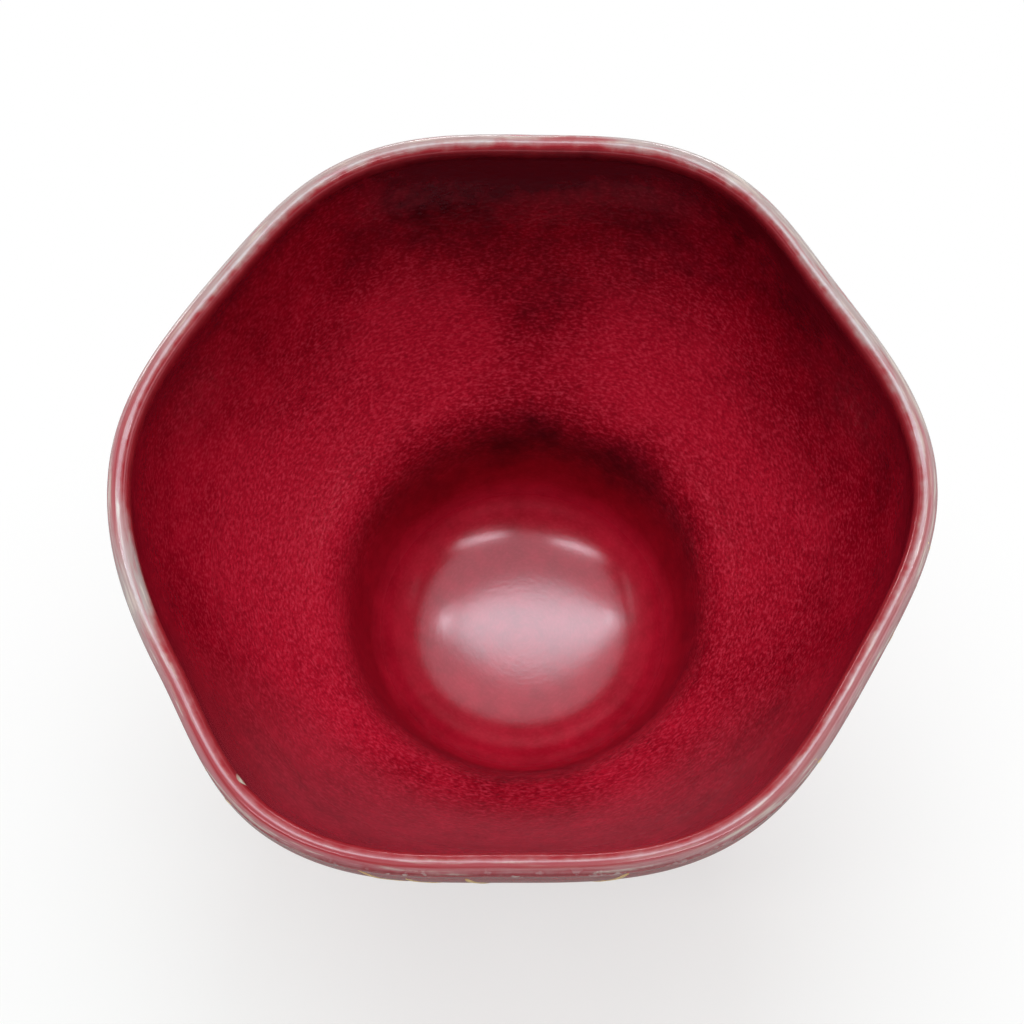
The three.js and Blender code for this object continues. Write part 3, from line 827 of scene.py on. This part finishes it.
class TEABOWL_OT_glazes(bpy.types.Operator):
    """Glazes the inside, the lip and the outside"""

    bl_idname = "tea_bowl.add_glazes"
    bl_label = "Copper-Red Glazes"

    def inside(self, size):
        face = inside_skin(size, FACE_PITCH)
        back = sunk(inside_skin(size, BACK_PITCH), size.glaze)
        return spun("inside_glaze", [*face, *reversed(back)], GLAZE_STEPS)

    def lip(self, size):
        face = lip_skin(size, LIP_PITCH)
        back = sunk(lip_skin(size, 2 * LIP_PITCH), size.glaze)
        return spun("lip_band_glaze", [*face, *reversed(back), face[0]], GLAZE_STEPS)

    def outside(self, size):
        """The lower edge ends in a thick round roll."""
        face = outside_skin(size, FACE_PITCH)
        back = sunk(outside_skin(size, BACK_PITCH), size.glaze)
        edge = face[-1]
        swollen = []
        for before, point in zip([face[0], *face], face):
            swell = size.roll * float(smooth((point - edge).length, ROLL_START, ROLL_FULL))
            way = (point - before).normalized()
            swollen.append(point - at(way.z, -way.x) * swell)
        end_way = (face[-1] - face[-2]).normalized()
        tuck = back[-1] + end_way * ROLL_TUCK
        roll = ease(swollen[-1], swollen[-1] + end_way * ROLL_HANG, tuck, LIP_PITCH)
        piece = spun("outside_glaze", [*swollen, *roll, *reversed(back), face[0]], GLAZE_STEPS)
        places = places_of(piece)
        turns = np.arctan2(places[:, 1], places[:, 0])
        rings = [noise.noise(Vector((math.cos(turn), math.sin(turn), 0)) * WAVE_PACE) for turn in turns]
        climb = size.roll_wave * (0.5 + np.array(rings)) * smooth(places[:, 2], WAVE_TOP, edge.z)
        places[:, 2] += climb
        places[:, 0] += climb / math.tan(size.heel_slope) * np.cos(turns)
        places[:, 1] += climb / math.tan(size.heel_slope) * np.sin(turns)
        move_places(piece, places)
        return piece

    def nicked(self, size, places):
        """A small flake is missing from the inner edge of the lip."""
        off = places - np.array(nick_place(size))
        share = smooth(np.linalg.norm(off, axis=1), size.nick_width / 2, 0)[:, None]
        outwards = places * [1, 1, 0]
        outwards /= np.maximum(np.linalg.norm(outwards, axis=1, keepdims=True), MERGE)
        return places + (outwards - [0, 0, NICK_FALL]) * share * size.nick_depth

    def execute(self, context):
        size, tints = context.scene.tea_bowl_sizes, context.scene.tea_bowl_colours
        skin = whole_skin(size, FACE_PITCH)
        nick = nick_place(size)
        layers = (
            (self.inside(size), "Copper-red glaze, inside", 0.32, 1.67, "copper_red_glaze", "inner_glaze"),
            (self.lip(size), "Copper-red glaze, burnt pale", 0.24, 1.45, "pale_lip_glaze", "lip_glaze"),
            (self.outside(size), "Copper-red glaze, outside", 0.28, 1.5, "copper_red_glaze", "outer_glaze"),
        )
        for piece, finish, satin, refraction, slot, node in layers:
            mark_crest_way(piece, skin)
            move_places(piece, self.nicked(size, formed(size, places_of(piece))))
            dressed(piece, copper_red_glaze(finish, tints, nick, satin, refraction), node)
        return {"FINISHED"}


class TEABOWL_OT_base_glaze(bpy.types.Operator):
    """Glazes the base inside the foot ring"""

    bl_idname = "tea_bowl.add_base_glaze"
    bl_label = "Base Glaze"

    def execute(self, context):
        size, tints = context.scene.tea_bowl_sizes, context.scene.tea_bowl_colours
        top = size.foot_height - size.fuse_gap
        edge = size.foot_radius - size.foot_width - size.fuse_gap
        under = top - size.base_glaze
        outline = [at(0, top), at(edge, top)]
        flat_edge = at(edge - MENISCUS * size.base_glaze, under)
        outline += ease(at(edge, top), at(edge, under), flat_edge, LIP_PITCH)
        outline += straight(outline[-1], at(0, under), FACE_PITCH)
        piece = spun("foot_well_glaze", outline, CLAY_STEPS)
        dressed(piece, clear_glaze("Clear glaze, crazed", tints), "base_glaze")
        return {"FINISHED"}


class TEABOWL_OT_gold_blades(bpy.types.Operator):
    """Paints a tuft of gold blades on each side"""

    bl_idname = "tea_bowl.add_gold_blades"
    bl_label = "Gold Blades"

    def blank(self):
        """A flat closed strip: X from 0 at the root to 1 at the tip, Y and Z from -1 to 1 across it."""
        bpy.ops.object.select_all(action="DESELECT")
        bpy.ops.mesh.primitive_grid_add(x_subdivisions=STROKE_STEPS, y_subdivisions=STROKE_ROWS, size=2)
        strip = bpy.context.object
        bpy.ops.object.mode_set(mode="EDIT")
        bpy.ops.transform.translate(value=(1, 0, 0))
        bpy.ops.transform.resize(value=(0.5, 1, 1), center_override=(0, 0, 0))
        bpy.ops.object.mode_set(mode="OBJECT")
        bpy.ops.object.modifier_add(type="SOLIDIFY")
        strip.modifiers[-1].thickness = 2
        strip.modifiers[-1].offset = 0
        bpy.ops.object.modifier_apply(modifier=strip.modifiers[-1].name)
        return strip

    def laid(self, blank, size, gold, root, tip, drop, seed):
        """The blank's points laid on the outside along one stroke of the brush."""
        share, across, lift = np.clip(blank[:, 0], 0, 1), blank[:, 1], (blank[:, 2] + 1) / 2
        heights = gold.root_height + (size.lip_height - drop - gold.root_height) * share
        turns = root + (tip - root) * share ** gold.arch
        loaded = [noise.noise(Vector((LOAD_PACE * s, seed, 0))) for s in share]
        bulge = np.sin(math.pi * share) ** gold.blunt
        widths = gold.tip + (gold.width - gold.tip) * bulge * (1 + LOAD_SHARE * np.array(loaded))
        lip = lip_skin(size, LIP_PITCH)
        skin = [*lip[len(lip) // 2:-1], *outside_skin(size, FACE_PITCH)][::-1]
        radii = np.interp(heights, [p.z for p in skin], [p.x for p in skin])
        turns = turns + across * widths / 2 / radii
        lengthwise = CROWN_ENDS + (1 - CROWN_ENDS) * np.sin(math.pi * share)
        crown = gold.gilt * (1 - CROWN_FALL * across ** 2) * lengthwise
        radii = radii - gold.seat + lift * crown
        return np.stack([radii * np.cos(turns), radii * np.sin(turns), heights], 1)

    def execute(self, context):
        scene = context.scene
        size, gold, tints = scene.tea_bowl_sizes, scene.tea_bowl_gold, scene.tea_bowl_colours
        material = burnished_gold("Gold, brushed and burnished", tints)
        strip = self.blank()
        flat = places_of(strip)
        middle_root = (len(gold.leans) - 1) / 2
        for side, bearing in enumerate(size.side_bearings):
            hand = 1 if side % 2 == 0 else -1
            for blade, (lean, drop) in enumerate(zip(gold.leans, gold.drops)):
                name = f"{side + 1}_{blade + 1}"
                piece = bpy.data.objects.new(f"gold_stroke_{name}", strip.data.copy())
                context.collection.objects.link(piece)
                root = bearing + hand * gold.root_step * (blade - middle_root)
                seed = side * len(gold.leans) + blade
                tip = bearing + hand * lean
                places = self.laid(flat, size, gold, root, tip, drop - gold.side_rise[side], seed)
                move_places(piece, formed(size, places))
                dressed(piece, material, f"gold_blade_{name}")
        bpy.data.objects.remove(strip)
        return {"FINISHED"}


class TEABOWL_OT_stage(bpy.types.Operator):
    """Lays the white paper, hangs the lamps and aims the camera"""

    bl_idname = "tea_bowl.set_stage"
    bl_label = "Stage"

    def paper(self, tints):
        """A flat sheet that curves up far behind."""
        curve = ease(PAPER_FLAT, at(PAPER_RIM.x, 0), PAPER_RIM, PAPER_PITCH)
        floor = spun("white_paper", [at(0, 0), PAPER_FLAT, *curve], CLAY_STEPS)
        floor.data.materials.append(white_paper("Seamless paper, matt", tints))

    def sky(self, scene, stage):
        """A bright ceiling and shade lower down, deeper on the camera's side."""
        world = bpy.data.worlds.new("Studio")
        scene.world = world
        world.use_nodes = True
        tree = world.node_tree
        way = add_node(tree, "TexCoord", out="Generated")
        axes = tree.nodes.new("ShaderNodeSeparateXYZ")
        tree.links.new(way, axes.inputs[0])
        tilted = add_node(tree, "Math", {0: axes.outputs["Y"], 1: SKY_TILT, 2: axes.outputs["Z"]},
                          operation="MULTIPLY_ADD")
        ceiling = add_node(tree, "MapRange", {
            "Value": tilted, "From Min": SKY_EDGE[0], "From Max": SKY_EDGE[1],
            "To Min": stage.shade, "To Max": stage.ceiling,
        }, **SOFTLY)
        set_inputs(tree, tree.nodes["Background"], {"Color": grey(1), "Strength": ceiling})

    def lamp(self, scene, name, way, long_axis, half_angles, brightness, distance=0.6, tint=grey(1)):
        """A soft oval light that fills the given half angles, seen from the bowl."""
        half_width, half_height = (math.radians(half) for half in half_angles)
        lamp = bpy.data.lights.new(name, "AREA")
        lamp.shape = "ELLIPSE"
        lamp.size = 2 * distance * math.tan(half_width)
        lamp.size_y = 2 * distance * math.tan(half_height)
        lamp.energy = brightness * math.pi * lamp.size * lamp.size_y * math.pi / 4
        lamp.color = tint[:3]
        holder = bpy.data.objects.new(name, lamp)
        scene.collection.objects.link(holder)
        way = Vector(way).normalized()
        across = way.cross(Vector(long_axis)).normalized()
        turned = Matrix((across.cross(way), across, way)).transposed().to_4x4()
        holder.matrix_world = Matrix.Translation(way * distance + LAMP_AIM) @ turned
        holder.visible_camera = False

    def aim(self, scene, stage, crest):
        right, ahead = Vector((1, 0, 0)), stage.elevation
        back = Vector((0, -math.cos(ahead), math.sin(ahead)))
        up = back.cross(right)
        turned = Matrix((right, up, back)).transposed().to_4x4()
        target = Vector((stage.target_x, stage.target_y, 0))
        spin = Matrix.Rotation(stage.heading, 4, "Z")
        place = Matrix.Translation(target + back * stage.distance)
        camera = bpy.data.cameras.new("Camera")
        camera.lens = camera.sensor_width * stage.focal
        camera.clip_start = NEAR_CLIP
        holder = bpy.data.objects.new("Camera", camera)
        scene.collection.objects.link(holder)
        lift = Matrix.Translation(Vector((0, 0, crest)))
        holder.matrix_world = lift @ spin @ place @ turned @ Matrix.Rotation(-stage.roll, 4, "Z")
        scene.camera = holder

    def execute(self, context):
        scene = context.scene
        stage = scene.tea_bowl_stage
        self.paper(scene.tea_bowl_colours)
        self.sky(scene, stage)
        level, deep = (1, 0, 0), (0, 1, 0)
        # Three ovals one behind another make a light that is brightest in the middle and pointed at both ends
        overhead = (-0.08, 0.265, 0.96)
        cool = stage.strip_tint
        self.lamp(scene, "Strip light, length", overhead, level, (31, 3.5), 2.1 * stage.strip, 0.58, cool)
        self.lamp(scene, "Strip light, middle", overhead, level, (27, 7), 2.4 * stage.strip, 0.6, cool)
        self.lamp(scene, "Strip light, heart", overhead, level, (17, 10.5), 2.3 * stage.strip, 0.62, cool)
        self.lamp(scene, "Lamp right of the camera", (0.29, -0.31, 0.905), level, (11, 2.5), stage.pair)
        self.lamp(scene, "Lamp left of the camera", (-0.35, -0.25, 0.9), level, (11, 2.5), stage.pair)
        self.lamp(scene, "Bulb, right end", (0.335, 0.262, 0.966), level, (1.8, 1.2), stage.bulb, 0.56)
        self.lamp(scene, "Bulb, left end", (-0.437, 0.234, 0.975), level, (1.8, 1.2), stage.bulb, 0.56)
        self.lamp(scene, "Window behind, right", (0.25, 0.96, 0.12), level, (7, 2.4), stage.window)
        self.lamp(scene, "Window behind, middle", (-0.13, 0.98, 0.12), level, (8, 2), stage.window)
        self.lamp(scene, "Window behind, left", (-0.74, 0.66, 0.12), level, (8, 2.4), stage.window)
        self.lamp(scene, "Right light", (0.78, 0.17, 0.6), deep, (24, 9), stage.right)
        self.lamp(scene, "Left light", (-0.75, 0.16, 0.64), deep, (20, 10), stage.left)
        self.aim(scene, stage, scene.tea_bowl_sizes.lip_height)
        scene.view_settings.view_transform = "Standard"
        return {"FINISHED"}


class TEABOWL_PT_panel(bpy.types.Panel):
    """Lists the bowl's pieces in the order in which they are made"""

    bl_idname = "TEABOWL_PT_panel"
    bl_label = "Tea Bowl"
    bl_space_type = "VIEW_3D"
    bl_region_type = "UI"
    bl_category = "Tea Bowl"

    def draw(self, context):
        for operator in OPERATORS:
            self.layout.operator(operator.bl_idname)
        for name in GROUPS:
            group = getattr(context.scene, name)
            box = self.layout.box()
            for key in group.__annotations__:
                box.prop(group, key)


GROUPS = {
    "tea_bowl_sizes": TeaBowlSizes,
    "tea_bowl_gold": GoldBladeSizes,
    "tea_bowl_colours": TeaBowlColours,
    "tea_bowl_stage": TeaBowlStage,
}
OPERATORS = (
    TEABOWL_OT_body,
    TEABOWL_OT_foot,
    TEABOWL_OT_glazes,
    TEABOWL_OT_base_glaze,
    TEABOWL_OT_gold_blades,
    TEABOWL_OT_stage,
)


def register():
    for cls in (*GROUPS.values(), *OPERATORS, TEABOWL_PT_panel):
        bpy.utils.register_class(cls)
    for name, group in GROUPS.items():
        setattr(bpy.types.Scene, name, PointerProperty(type=group))


def unregister():
    for name in GROUPS:
        delattr(bpy.types.Scene, name)
    for cls in (TEABOWL_PT_panel, *reversed(OPERATORS), *reversed(GROUPS.values())):
        bpy.utils.unregister_class(cls)


def main():
    register()
    bpy.ops.tea_bowl.add_body()
    bpy.ops.tea_bowl.add_foot()
    bpy.ops.tea_bowl.add_glazes()
    bpy.ops.tea_bowl.add_base_glaze()
    bpy.ops.tea_bowl.add_gold_blades()
    bpy.ops.tea_bowl.set_stage()


if __name__ == "__main__":
    main()
